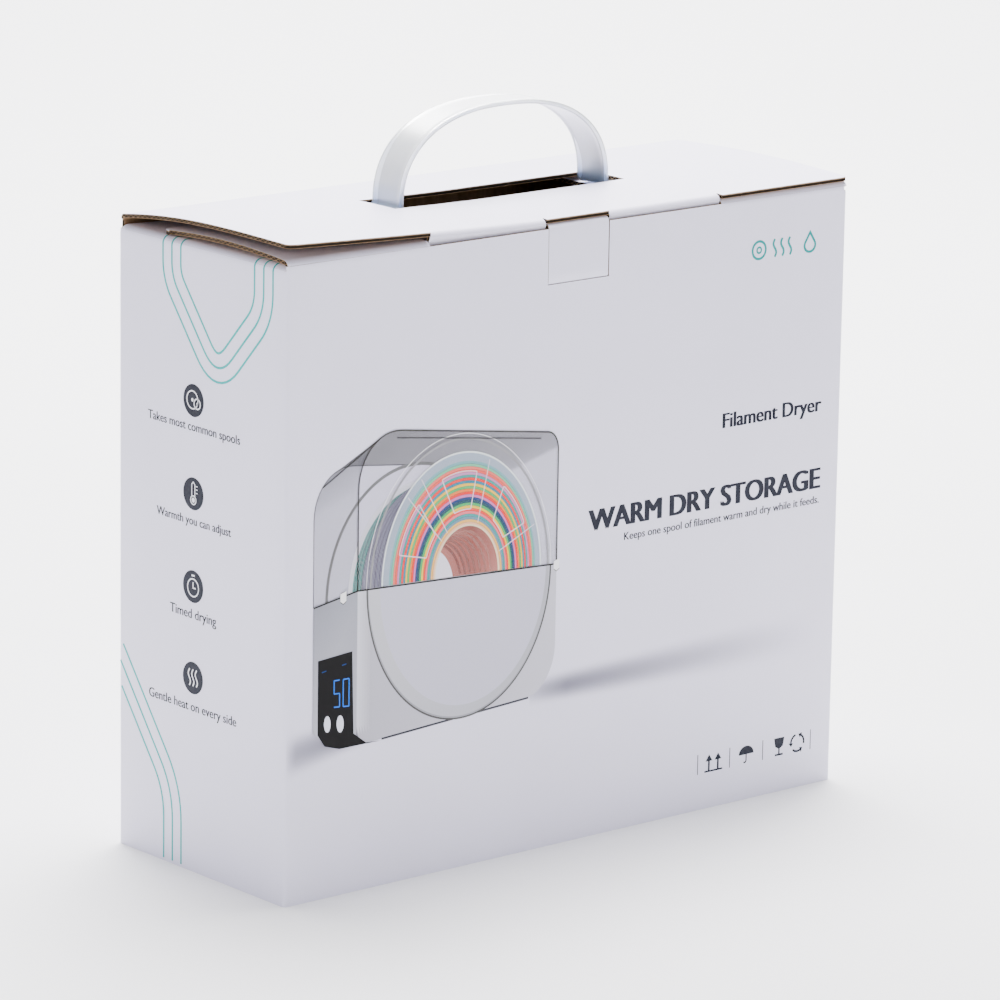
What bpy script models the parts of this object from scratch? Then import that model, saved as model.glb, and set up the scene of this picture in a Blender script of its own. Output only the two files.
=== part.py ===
"""A tall folding retail carton of thin corrugated board with a moulded carry strap.

Metres, +Z up. The origin is the centre of the base, -Y is the printed front.
Every board of the folded blank is its own object, with creases as hinges."""

import math

import bpy

MM = 0.001

# Outside size of the folded carton and its board.
WIDTH = 320.0
DEPTH = 119.0
BOARD = 1.8
GAP = 0.3

# Heights of the creases around the mouth.
SIDE_TOP = 276.7
FRONT_TOP = 278.9
BACK_TOP = 281.0
DUST_LOW = 277.0
INNER_LOW = 279.2
LID_LOW = 281.3

# Flaps.
DUST_LENGTH = 75.0
DUST_FRONT_TAPER = 0.45
DUST_BACK_TAPER = 0.2
INNER_DEPTH = 89.0
HAND_CUT_X = (-58.0, 60.0)
HAND_CUT_Y = -12.0
TUCK_INNER_X = 17.7
TUCK_OUTER_X = 83.0
TUCK_BOTTOM = 267.0
TUCK_FRONT_Y = -56.7

# The press-in tab in the top of the front wall.
TAB_HALF = 17.2
TAB_BOTTOM = 254.8
SLOT_BOTTOM = 254.3
TAB_TONGUE_Y = -50.0

# The lid's window, front notch and warp.
WINDOW_X = (-65.0, 67.0)
WINDOW_HALF_Y = 12.5
NOTCH_HALF = 18.0
NOTCH_DEPTH = 1.5
WARP_START = -17.0
WARP_FRONT = 5.2
WARP_BELLY = 0.7
BOW = 2.0

# The carry strap.
STRAP_HALF_X = 58.9
STRAP_BASE = 285.0
STRAP_RISE = 40.4
STRAP_POWER = 2.35
STRAP_WIDTH = 20.0
RIM = 2.2
WEB = 1.4
RIM_WIDTH = 2.4
NECK_LOW = 290.0
NECK_HIGH = 294.0
NECK_WIDTH = 6.0
STRAP_STEPS = 36

HALF_X = WIDTH / 2
HALF_Y = DEPTH / 2
IN_X = HALF_X - BOARD - GAP
IN_Y = HALF_Y - BOARD - GAP

WHITE = (0.82, 0.82, 0.86)
KRAFT = (0.45, 0.31, 0.19)
MILKY = (0.86, 0.89, 0.92)


def clear_scene():
    for obj in list(bpy.data.objects):
        bpy.data.objects.remove(obj, do_unlink=True)


def material(name, colour, roughness):
    mat = bpy.data.materials.new(name)
    mat.use_nodes = True
    shader = mat.node_tree.nodes["Principled BSDF"]
    shader.inputs["Base Color"].default_value = (*colour, 1.0)
    shader.inputs["Roughness"].default_value = roughness
    return mat


def solid(name, points, faces, colour, roughness=0.75, smooth=False):
    """One closed body from points in millimetres."""
    mesh = bpy.data.meshes.new(name)
    mesh.from_pydata([(x * MM, y * MM, z * MM) for x, y, z in points], [], faces)
    mesh.validate()
    obj = bpy.data.objects.new(name, mesh)
    bpy.context.scene.collection.objects.link(obj)
    obj.data.materials.append(material(name, colour, roughness))
    for face in mesh.polygons:
        face.use_smooth = smooth
    return obj


def area(outline):
    """Twice the signed area of a flat outline."""
    total = 0.0
    for (ax, ay), (bx, by) in zip(outline, outline[1:] + outline[:1]):
        total += ax * by - bx * ay
    return total


def board(name, outline, axis, low, high, colour):
    """A flat board: the outline lies across the axis, in X, Y, Z order of the other two."""
    if (area(outline) < 0) != (axis == 1):
        outline = outline[::-1]
    count = len(outline)
    points = []
    for level in (low, high):
        for a, b in outline:
            spot = [a, b]
            spot.insert(axis, level)
            points.append(tuple(spot))
    faces = [tuple(range(count))[::-1], tuple(range(count, 2 * count))]
    for i in range(count):
        j = (i + 1) % count
        faces.append((i, j, count + j, count + i))
    return solid(name, points, faces, colour)


def rectangle(a_low, b_low, a_high, b_high):
    return [(a_low, b_low), (a_high, b_low), (a_high, b_high), (a_low, b_high)]


def mirrored(outline):
    return [(-a, b) for a, b in outline][::-1]


def put_origin(obj, x, y, z):
    """Moves the object's origin onto its crease without moving its surface."""
    shift = (x * MM, y * MM, z * MM)
    for vertex in obj.data.vertices:
        vertex.co = [vertex.co[i] - shift[i] for i in range(3)]
    obj.location = shift


def walls():
    slot = TAB_HALF + GAP
    front = [
        (-HALF_X, 0.0),
        (HALF_X, 0.0),
        (HALF_X, FRONT_TOP),
        (slot, FRONT_TOP),
        (slot, SLOT_BOTTOM),
        (-slot, SLOT_BOTTOM),
        (-slot, FRONT_TOP),
        (-HALF_X, FRONT_TOP),
    ]
    board("wall_front", front, 1, -HALF_Y, -HALF_Y + BOARD, WHITE)
    back = rectangle(-HALF_X, 0.0, HALF_X, BACK_TOP)
    board("wall_back", back, 1, HALF_Y - BOARD, HALF_Y, WHITE)
    side = rectangle(-IN_Y, 0.0, IN_Y, SIDE_TOP)
    board("wall_left", side, 0, -HALF_X, -HALF_X + BOARD, WHITE)
    board("wall_right", side, 0, HALF_X - BOARD, HALF_X, WHITE)
    tab = [(27.0, 20.0), (IN_Y - 0.2, 8.0), (IN_Y - 0.2, 270.0), (27.0, 258.0)]
    board("glue_tab", tab, 0, -IN_X, -IN_X + BOARD, KRAFT)


def bottom_flaps():
    """A snap-lock bottom: one front flap outermost, two side flaps, one back flap."""
    half_front = [
        (IN_X, -IN_Y),
        (IN_X, 0.0),
        (104.0, 12.0),
        (62.0, 12.0),
        (55.0, 30.0),
    ]
    front = half_front + mirrored(half_front)
    board("bottom_flap_front", front, 2, 0.0, BOARD, WHITE)
    side = [
        (-IN_X, -IN_Y),
        (-112.0, -IN_Y),
        (-85.0, -20.0),
        (-85.0, 18.0),
        (-104.0, IN_Y),
        (-IN_X, IN_Y),
    ]
    low = BOARD + GAP
    board("bottom_flap_left", side, 2, low, low + BOARD, KRAFT)
    board("bottom_flap_right", mirrored(side), 2, low, low + BOARD, KRAFT)
    low += BOARD + GAP
    half_back = [
        (57.0, 14.0),
        (62.0, -14.0),
        (112.0, -14.0),
        (IN_X, 0.0),
        (IN_X, IN_Y),
    ]
    back = half_back + mirrored(half_back)
    board("bottom_flap_back", back, 2, low, low + BOARD, KRAFT)


def dust_flaps():
    tip = -HALF_X + DUST_LENGTH
    front_y = -IN_Y + DUST_FRONT_TAPER * DUST_LENGTH
    back_y = IN_Y - DUST_BACK_TAPER * DUST_LENGTH
    outline = [
        (-HALF_X, -IN_Y),
        (tip - 4.0, front_y - 4.0 * DUST_FRONT_TAPER),
        (tip, front_y + 2.0),
        (tip, back_y - 4.0),
        (tip - 4.0, back_y + 4.0 * DUST_BACK_TAPER),
        (-HALF_X, IN_Y),
    ]
    top = DUST_LOW + BOARD
    left = board("dust_flap_left", outline, 2, DUST_LOW, top, WHITE)
    put_origin(left, -HALF_X, 0.0, DUST_LOW - 0.15)
    right = board("dust_flap_right", mirrored(outline), 2, DUST_LOW, top, WHITE)
    put_origin(right, HALF_X, 0.0, DUST_LOW - 0.15)


def lid_rise(x, y):
    """How far the lid stands above flat: its left end lifts at the front, its middle bows."""
    v = (y + HALF_Y) / DEPTH
    reach = (WARP_START - x) / (WARP_START + HALF_X)
    lift = max(reach, 0.0) ** 1.3
    corner = WARP_FRONT * math.cos(math.pi / 2 * v * v) + WARP_BELLY * math.sin(math.pi * v)
    return lift * corner + (1.0 - lift) * BOW * math.sin(math.pi * v)


def stops(marks, step):
    """The marks with even stops between them, none further apart than the step."""
    found = []
    for low, high in zip(marks, marks[1:]):
        count = max(1, math.ceil((high - low) / step))
        found += [low + (high - low) * i / count for i in range(count)]
    return found + [marks[-1]]


def plate(name, xs, ys, holes, underside):
    """A board over a grid of X and Y stops, left open inside each hole (x, y, x, y)."""
    spots = {}
    points = []

    def spot(i, j, top):
        key = (i, j, top)
        if key not in spots:
            spots[key] = len(points)
            points.append((xs[i], ys[j], underside(xs[i], ys[j]) + BOARD * top))
        return spots[key]

    def filled(i, j):
        if not (0 <= i < len(xs) - 1 and 0 <= j < len(ys) - 1):
            return False
        x = (xs[i] + xs[i + 1]) / 2
        y = (ys[j] + ys[j + 1]) / 2
        return not any(a < x < c and b < y < d for a, b, c, d in holes)

    faces = []
    for i in range(len(xs) - 1):
        for j in range(len(ys) - 1):
            if not filled(i, j):
                continue
            ring = [(i, j), (i + 1, j), (i + 1, j + 1), (i, j + 1)]
            beyond = [(i, j - 1), (i + 1, j), (i, j + 1), (i - 1, j)]
            faces.append([spot(*c, 1) for c in ring])
            faces.append([spot(*c, 0) for c in ring[::-1]])
            for k in range(4):
                if filled(*beyond[k]):
                    continue
                a, b = ring[k], ring[(k + 1) % 4]
                faces.append([spot(*a, 0), spot(*b, 0), spot(*b, 1), spot(*a, 1)])
    return solid(name, points, faces, WHITE)


def inner_flap():
    """The flap under the lid, cut away under its window and for the tuck lips and the tab."""
    side = HALF_X - GAP
    end = -HALF_Y + INNER_DEPTH
    lip_x = TUCK_OUTER_X + 0.5
    lip_y = TUCK_FRONT_Y + BOARD + 0.5
    tab_x = TAB_HALF + 0.4
    tab_y = -44.5
    low_x, high_x = HAND_CUT_X
    xs = [-side, -lip_x, low_x, -tab_x, tab_x, high_x, lip_x, side]
    ys = [-HALF_Y, lip_y, tab_y, HAND_CUT_Y, end]
    holes = [
        (-lip_x, -HALF_Y, lip_x, lip_y),
        (-tab_x, lip_y, tab_x, tab_y),
        (low_x, HAND_CUT_Y, high_x, end),
    ]
    flap = plate("inner_flap", xs, ys, holes, lambda x, y: INNER_LOW)
    put_origin(flap, 0.0, -HALF_Y, INNER_LOW - 0.15)


def lid():
    notch_y = -HALF_Y + NOTCH_DEPTH
    low_x, high_x = WINDOW_X
    half = WINDOW_HALF_Y
    xs = stops([-HALF_X, low_x, -NOTCH_HALF, NOTCH_HALF, high_x, HALF_X], 16.0)
    ys = stops([-HALF_Y, notch_y, -half, half, HALF_Y], 12.0)
    holes = [
        (low_x, -half, high_x, half),
        (-NOTCH_HALF, -HALF_Y, NOTCH_HALF, notch_y),
    ]
    panel = plate("lid_panel", xs, ys, holes, lambda x, y: LID_LOW + lid_rise(x, y))
    put_origin(panel, 0.0, HALF_Y + 0.9, LID_LOW - 0.15)
    lip = [
        (TUCK_INNER_X, TUCK_BOTTOM + 3.0),
        (TUCK_INNER_X + 3.0, TUCK_BOTTOM),
        (TUCK_OUTER_X - 7.0, TUCK_BOTTOM),
        (TUCK_OUTER_X, TUCK_BOTTOM + 7.0),
        (TUCK_OUTER_X, LID_LOW - GAP),
        (TUCK_INNER_X, LID_LOW - GAP),
    ]
    back = TUCK_FRONT_Y + BOARD
    board("tuck_lip_left", mirrored(lip), 1, TUCK_FRONT_Y, back, WHITE)
    board("tuck_lip_right", lip, 1, TUCK_FRONT_Y, back, WHITE)


def thumb_tab():
    """The plate in the wall's slot with a short tongue bent back under the lid."""
    top = LID_LOW - GAP
    inner = -HALF_Y + BOARD
    outline = [
        (-HALF_Y, TAB_BOTTOM),
        (inner, TAB_BOTTOM),
        (inner, top - BOARD),
        (TAB_TONGUE_Y, top - BOARD),
        (TAB_TONGUE_Y, top),
        (-HALF_Y + 0.7, top),
        (-HALF_Y, top - 0.7),
    ]
    tab = board("thumb_tab", outline, 0, -TAB_HALF, TAB_HALF, WHITE)
    put_origin(tab, 0.0, -HALF_Y + BOARD / 2, TAB_BOTTOM - 0.15)


def strap_section(width):
    """Half-offsets across the strap: a thin web between two thicker rims."""
    edge = width / 2
    land = edge - RIM_WIDTH * width / STRAP_WIDTH
    root = land - 0.5 * width / STRAP_WIDTH
    upper = [(-edge, RIM / 2), (-land, RIM / 2), (-root, WEB / 2)]
    upper += [(root, WEB / 2), (land, RIM / 2), (edge, RIM / 2)]
    return upper + [(y, -t) for y, t in upper[::-1]]


def strap():
    power = 2.0 / STRAP_POWER
    start = math.asin(((NECK_LOW - STRAP_BASE) / STRAP_RISE) ** (1 / power))
    angles = []
    for i in range(STRAP_STEPS + 1):
        angles.append(start + (math.pi - 2 * start) * i / STRAP_STEPS)
    neck = math.asin(((NECK_HIGH - STRAP_BASE) / STRAP_RISE) ** (1 / power))
    angles = sorted(angles + [neck, math.pi - neck])
    path = []
    for angle in angles:
        x = STRAP_HALF_X * math.copysign(abs(math.cos(angle)) ** power, math.cos(angle))
        z = STRAP_BASE + STRAP_RISE * math.sin(angle) ** power
        path.append((x, z))
    points = []
    last = len(path) - 1
    for i, (x, z) in enumerate(path):
        before, after = path[max(i - 1, 0)], path[min(i + 1, last)]
        dx, dz = after[0] - before[0], after[1] - before[1]
        if i in (0, last):
            dx, dz = 0.0, (1.0 if i == 0 else -1.0)
        size = math.hypot(dx, dz)
        out_x, out_z = dz / size, -dx / size
        narrow = min(1.0, (z - NECK_LOW) / (NECK_HIGH - NECK_LOW))
        width = NECK_WIDTH + (STRAP_WIDTH - NECK_WIDTH) * narrow
        for y, t in strap_section(width):
            points.append((x + out_x * t, y, z + out_z * t))
    ring = len(strap_section(STRAP_WIDTH))
    faces = [tuple(range(ring))[::-1], tuple(range(last * ring, (last + 1) * ring))]
    for i in range(last):
        for k in range(ring):
            a, b = i * ring + k, i * ring + (k + 1) % ring
            faces.append((a, b, b + ring, a + ring))
    obj = solid("handle_strap", points, faces, MILKY, 0.35, True)
    put_origin(obj, 0.0, 0.0, NECK_LOW)


def anchors():
    """The strap's ends under the lid: a foot with a post up to the neck."""
    post_in, post_out = STRAP_HALF_X - RIM / 2, STRAP_HALF_X + RIM / 2
    for name, side in (("handle_anchor_left", -1), ("handle_anchor_right", 1)):
        under = LID_LOW + lid_rise(side * 66.0, 0.0)
        top = under - GAP - 0.1
        low = top - 1.5
        foot_out = post_out + 18.0
        xs = [post_in, post_out, foot_out]
        ys = [-9.0, -3.0, 3.0, 9.0]
        spots = {}
        points = []

        def spot(i, j, z):
            if (i, j, z) not in spots:
                spots[(i, j, z)] = len(points)
                points.append((side * xs[i], ys[j], z))
            return spots[(i, j, z)]

        faces = []
        post = (0, 1)
        for i in range(2):
            for j in range(3):
                ring = [(i, j), (i + 1, j), (i + 1, j + 1), (i, j + 1)]
                beyond = [(i, j - 1), (i + 1, j), (i, j + 1), (i - 1, j)]
                high = 287.0 if (i, j) == post else top
                faces.append([spot(*c, high) for c in ring])
                faces.append([spot(*c, low) for c in ring[::-1]])
                for k in range(4):
                    a, b = ring[k], ring[(k + 1) % 4]
                    outside = not (0 <= beyond[k][0] < 2 and 0 <= beyond[k][1] < 3)
                    if outside:
                        faces.append([spot(*a, low), spot(*b, low), spot(*b, top), spot(*a, top)])
                    if (i, j) == post:
                        faces.append([spot(*a, top), spot(*b, top), spot(*b, high), spot(*a, high)])
        if side < 0:
            faces = [face[::-1] for face in faces]
        solid(name, points, faces, MILKY, 0.35)


def main():
    clear_scene()
    walls()
    bottom_flaps()
    dust_flaps()
    inner_flap()
    lid()
    thumb_tab()
    strap()
    anchors()


main()
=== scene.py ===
"""The retail carton of a filament dryer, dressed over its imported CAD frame."""

import math

import bpy
from mathutils import Matrix, Vector


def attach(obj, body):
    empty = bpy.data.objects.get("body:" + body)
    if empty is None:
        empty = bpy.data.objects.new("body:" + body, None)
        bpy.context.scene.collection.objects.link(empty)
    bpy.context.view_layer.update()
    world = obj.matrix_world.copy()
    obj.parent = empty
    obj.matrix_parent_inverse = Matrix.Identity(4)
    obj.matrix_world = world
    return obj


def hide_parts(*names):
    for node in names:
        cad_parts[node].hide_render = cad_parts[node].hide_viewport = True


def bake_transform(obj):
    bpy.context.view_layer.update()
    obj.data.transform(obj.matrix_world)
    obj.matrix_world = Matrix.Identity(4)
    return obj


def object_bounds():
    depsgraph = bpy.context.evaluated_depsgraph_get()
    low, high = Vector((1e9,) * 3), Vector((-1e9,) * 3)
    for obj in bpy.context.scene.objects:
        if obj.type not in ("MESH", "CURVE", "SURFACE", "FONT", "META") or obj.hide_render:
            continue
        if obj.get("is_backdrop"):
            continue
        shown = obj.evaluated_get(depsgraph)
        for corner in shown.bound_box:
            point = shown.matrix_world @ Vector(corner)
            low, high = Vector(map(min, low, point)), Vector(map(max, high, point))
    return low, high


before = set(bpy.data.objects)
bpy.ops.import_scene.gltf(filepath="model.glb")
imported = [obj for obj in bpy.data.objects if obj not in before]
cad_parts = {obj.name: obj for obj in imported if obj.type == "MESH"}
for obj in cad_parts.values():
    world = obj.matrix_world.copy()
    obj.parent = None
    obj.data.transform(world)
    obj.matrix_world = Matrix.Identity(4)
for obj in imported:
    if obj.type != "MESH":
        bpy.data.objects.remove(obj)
CAD_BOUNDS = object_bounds()

MM = 0.001

# The carton, in millimetres.
HALF_X = 160.0
HALF_Y = 59.5
BOARD = 1.8
IN_X = HALF_X - BOARD
IN_Y = HALF_Y - BOARD
SIDE_TOP = 276.9
FRONT_TOP = 279.0
BACK_TOP = 281.2
LID_LOW = 281.3
FLUTE = 3.3
CORNER = 2.0
CREASE = 3.5
SIDE_CENTRE = 275.25
FRONT_CENTRE = 277.45
BACK_CENTRE = 279.6


# ---------------------------------------------------------------- materials


class Nodes:
    """A small helper for building one material's node tree."""

    def __init__(self, name):
        self.mat = bpy.data.materials.new(name)
        self.mat.use_nodes = True
        self.tree = self.mat.node_tree
        self.shader = self.tree.nodes["Principled BSDF"]
        self.object = None

    def add(self, kind, **values):
        node = self.tree.nodes.new(kind)
        for key, value in values.items():
            setattr(node, key, value)
        return node

    def link(self, a, b):
        self.tree.links.new(a, b)

    def coords(self):
        if self.object is None:
            self.object = self.add("ShaderNodeTexCoord").outputs["Object"]
        return self.object

    def give(self, socket, value):
        """Sets a socket from a number or a colour, or links another node's output to it."""
        if isinstance(value, (int, float)):
            socket.default_value = value
        elif isinstance(value, tuple):
            socket.default_value = (*value, 1.0)
        else:
            self.link(value, socket)

    def noise(self, scale, detail, stretch=(1.0, 1.0, 1.0)):
        mapping = self.add("ShaderNodeMapping")
        mapping.inputs["Scale"].default_value = stretch
        self.link(self.coords(), mapping.inputs["Vector"])
        noise = self.add("ShaderNodeTexNoise")
        noise.inputs["Scale"].default_value = scale
        noise.inputs["Detail"].default_value = detail
        self.link(mapping.outputs["Vector"], noise.inputs["Vector"])
        return noise.outputs["Fac"]

    def ramp(self, value, *stops):
        ramp = self.add("ShaderNodeValToRGB")
        elements = ramp.color_ramp.elements
        while len(elements) < len(stops):
            elements.new(0.5)
        for element, (place, colour) in zip(elements, stops):
            element.position = place
            element.color = (*colour, 1.0)
        self.link(value, ramp.inputs["Fac"])
        return ramp.outputs["Color"]

    def math(self, operation, *values):
        node = self.add("ShaderNodeMath", operation=operation)
        for socket, value in zip(node.inputs, values):
            self.give(socket, value)
        return node.outputs[0]

    def mix(self, fac, a, b):
        node = self.add("ShaderNodeMix", data_type="RGBA")
        sockets = [node.inputs[0], node.inputs[6], node.inputs[7]]
        for socket, value in zip(sockets, (fac, a, b)):
            self.give(socket, value)
        return node.outputs[2]

    def bump(self, height, strength, distance, before=None):
        bump = self.add("ShaderNodeBump")
        bump.inputs["Strength"].default_value = strength
        bump.inputs["Distance"].default_value = distance
        self.link(height, bump.inputs["Height"])
        if before is not None:
            self.link(before, bump.inputs["Normal"])
        return bump.outputs["Normal"]

    def set(self, **values):
        for key, value in values.items():
            title = key.replace("_", " ").title().replace("Ior", "IOR")
            self.give(self.shader.inputs[title], value)


def paper_normal(nodes):
    """Paper grain over the faint washboard that the flutes press into the liner."""
    grain = nodes.noise(900.0, 3.0)
    soft = nodes.noise(28.0, 2.0)
    normal = nodes.bump(soft, 0.35, 0.0006)
    return nodes.bump(grain, 0.12, 0.0001, normal)


def coated_white(name, colour=(0.755, 0.735, 0.88)):
    nodes = Nodes(name)
    mottled = nodes.noise(14.0, 5.0)
    deeper = tuple(c * 0.965 for c in colour)
    base = nodes.ramp(mottled, (0.3, deeper), (0.7, colour))
    rough = nodes.math("MULTIPLY_ADD", nodes.noise(60.0, 3.0), 0.12, 0.38)
    normal = paper_normal(nodes)
    nodes.set(base_color=base, roughness=rough, normal=normal, specular_ior_level=0.35)
    return nodes.mat


def kraft(name):
    nodes = Nodes(name)
    light, dark = (0.28, 0.18, 0.10), (0.22, 0.138, 0.075)
    fibres = nodes.noise(420.0, 6.0, (1.0, 1.0, 0.3))
    base = nodes.ramp(fibres, (0.32, dark), (0.68, light))
    normal = nodes.bump(fibres, 0.25, 0.0003)
    nodes.set(base_color=base, roughness=0.85, normal=normal, specular_ior_level=0.15)
    return nodes.mat


def cut_edge(name):
    """A cut through the board: two liners and the wave of the medium, on the UV map.

    U runs along the edge in millimetres and V through the board from 0 to 1."""
    nodes = Nodes(name)
    uv = nodes.add("ShaderNodeTexCoord").outputs["UV"]
    parts = nodes.add("ShaderNodeSeparateXYZ")
    nodes.link(uv, parts.inputs[0])
    u, v = parts.outputs[0], parts.outputs[1]
    phase = nodes.math("MULTIPLY", u, 2.0 * math.pi / FLUTE)
    wave = nodes.math("MULTIPLY", nodes.math("SINE", phase), 0.30)
    from_wave = nodes.math("SUBTRACT", nodes.math("SUBTRACT", v, 0.5), wave)
    line = nodes.math("ABSOLUTE", from_wave)
    medium = nodes.math("LESS_THAN", line, 0.10)
    from_middle = nodes.math("ABSOLUTE", nodes.math("SUBTRACT", v, 0.5))
    liner = nodes.math("GREATER_THAN", from_middle, 0.385)
    paper = nodes.math("MAXIMUM", medium, liner)
    fibres = nodes.noise(500.0, 4.0)
    brown = nodes.ramp(fibres, (0.3, (0.17, 0.105, 0.058)), (0.7, (0.30, 0.20, 0.115)))
    # Between the liners and the medium the edge is painted near-black: painted shade in the open flute
    # hollows.
    base = nodes.mix(paper, (0.012, 0.007, 0.004), brown)
    normal = nodes.bump(paper, 0.8, 0.0004)
    nodes.set(base_color=base, roughness=0.9, normal=normal, specular_ior_level=0.1)
    return nodes.mat


def milky_plastic(name):
    nodes = Nodes(name)
    cloud = nodes.noise(70.0, 3.0)
    milk = nodes.ramp(cloud, (0.3, (0.84, 0.88, 0.95)), (0.7, (0.94, 0.96, 0.98)))
    # The strip is painted bluer towards its feet, low in the lid's slot: painted shade of the dark slot
    # seen through the clear plastic.
    height = nodes.add("ShaderNodeSeparateXYZ")
    nodes.link(nodes.coords(), height.inputs[0])
    above = nodes.math("SUBTRACT", height.outputs[2], 0.286)
    clear_of_slot_shade = nodes.math("MAXIMUM", nodes.math("MULTIPLY", above, 110.0), 0.0)
    clear_of_slot_shade = nodes.math("MINIMUM", clear_of_slot_shade, 1.0)
    base = nodes.mix(clear_of_slot_shade, (0.50, 0.62, 0.84), milk)
    streak = nodes.noise(300.0, 2.0, (0.2, 1.0, 0.2))
    nodes.set(base_color=base, roughness=0.28, normal=nodes.bump(streak, 0.08, 0.0002))
    nodes.set(transmission_weight=0.50, ior=1.35, subsurface_weight=0.3)
    nodes.shader.inputs["Subsurface Radius"].default_value = (0.004, 0.004, 0.005)
    return nodes.mat


# How rough dry ink is, and how little it shines beside the coated liner.
INK_GLOSS = 0.42
INK_SHEEN = 0.10


def ink(name, colour):
    """Offset ink on the coated liner: the colour breaks up very slightly with the paper."""
    nodes = Nodes(name)
    speckle = nodes.noise(700.0, 2.0)
    lighter = tuple(min(1.0, c * 1.06 + 0.01) for c in colour)
    base = nodes.ramp(speckle, (0.35, colour), (0.75, lighter))
    normal = paper_normal(nodes)
    nodes.set(base_color=base, roughness=INK_GLOSS, normal=normal, specular_ior_level=INK_SHEEN)
    return nodes.mat


def printed_picture(name):
    """Process colour laid down by the mesh's own ink colours, with their coverage as alpha."""
    nodes = Nodes(name)
    colour = nodes.add("ShaderNodeVertexColor", layer_name="ink")
    speckle = nodes.noise(900.0, 2.0)
    shade = nodes.math("MULTIPLY_ADD", speckle, 0.06, 0.97)
    scaled = nodes.add("ShaderNodeVectorMath", operation="SCALE")
    nodes.link(colour.outputs["Color"], scaled.inputs[0])
    nodes.link(shade, scaled.inputs["Scale"])
    nodes.set(base_color=scaled.outputs[0], roughness=INK_GLOSS, alpha=colour.outputs["Alpha"])
    nodes.set(normal=paper_normal(nodes), specular_ior_level=INK_SHEEN)
    return nodes.mat


WHITE = coated_white("coated_liner")
KRAFT = kraft("kraft_liner")
EDGE = cut_edge("cut_board_edge")
PLASTIC = milky_plastic("milky_strap")
TEAL = ink("teal_ink", (0.002, 0.235, 0.235))
PALE_TEAL = ink("pale_teal_ink", (0.025, 0.37, 0.36))
SLATE = ink("slate_ink", (0.010, 0.011, 0.021))
GREY_INK = ink("grey_ink", (0.014, 0.014, 0.019))
PICTURE = printed_picture("printed_picture")


# ------------------------------------------------------------------- meshes


def make(name, points, faces, mats, slots=None, smooth=True, uvs=None):
    """A mesh from points in millimetres, with a material number for each face."""
    mesh = bpy.data.meshes.new(name)
    mesh.from_pydata([(x * MM, y * MM, z * MM) for x, y, z in points], [], faces)
    for mat in mats:
        mesh.materials.append(mat)
    if slots is not None:
        mesh.polygons.foreach_set("material_index", slots)
    mesh.polygons.foreach_set("use_smooth", [smooth] * len(faces))
    if uvs is not None:
        layer = mesh.uv_layers.new(name="UVMap")
        flat = [c for uv in uvs for c in uv]
        layer.data.foreach_set("uv", flat)
    obj = bpy.data.objects.new(name, mesh)
    bpy.context.scene.collection.objects.link(obj)
    return obj


def sheet(name, columns, rows, filled, place, flutes_across, wrap=False):
    """A board over a grid: white outside, kraft inside, and cut edges around what is filled.

    place(i, j, side) gives the point of a grid corner, side 1 for the outer face.
    Each face has its own side points at the edges, so the cut corners stay sharp."""
    points, faces, slots, uvs = [], [], [], []
    spots = {}

    def spot(i, j, side, kind):
        key = (i, j, side, kind)
        if key not in spots:
            spots[key] = len(points)
            points.append(place(i, j, side))
        return spots[key]

    last = len(columns) - 1

    def full(i, j):
        if wrap:
            i %= last
        if not (0 <= i < last and 0 <= j < len(rows) - 1):
            return False
        return filled(i, j)

    for i in range(last):
        for j in range(len(rows) - 1):
            if not full(i, j):
                continue
            ring = [(i, j), (i + 1, j), (i + 1, j + 1), (i, j + 1)]
            if wrap:
                ring = [(a % last, b) for a, b in ring]
            beyond = [(i, j - 1), (i + 1, j), (i, j + 1), (i - 1, j)]
            faces.append([spot(*c, 1, "out") for c in ring])
            faces.append([spot(*c, 0, "in") for c in ring[::-1]])
            slots += [0, 1]
            uvs += [(0.0, 0.0)] * 8
            for k in range(4):
                if full(*beyond[k]):
                    continue
                a, b = ring[k], ring[(k + 1) % 4]
                kind = "edge%d" % (k % 2)
                around = ((a, 0), (b, 0), (b, 1), (a, 1))
                faces.append([spot(*c, side, kind) for c, side in around])
                slots.append(2)
                across = (k % 2 == 0) == flutes_across
                ua = columns[ring[k][0]] if across else 0.8
                ub = columns[ring[(k + 1) % 4][0]] if across else 0.8
                if across and not flutes_across:
                    ua, ub = rows[ring[k][1]], rows[ring[(k + 1) % 4][1]]
                uvs += [(ua, 0.0), (ub, 0.0), (ub, 1.0), (ua, 1.0)]
    return make(name, points, faces, [WHITE, KRAFT, EDGE], slots, True, uvs)


def whole(i, j):
    """For a board with nothing cut away."""
    return True


def stops(marks, step):
    """The marks with even stops between them, none further apart than the step."""
    found = []
    for low, high in zip(marks, marks[1:]):
        count = max(1, math.ceil((high - low) / step))
        found += [low + (high - low) * i / count for i in range(count)]
    return found + [marks[-1]]


# -------------------------------------------------------------------- walls

TAB_HALF = 17.5
SLOT_BOTTOM = 254.3
TUCK_OUT = 83.0


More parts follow.
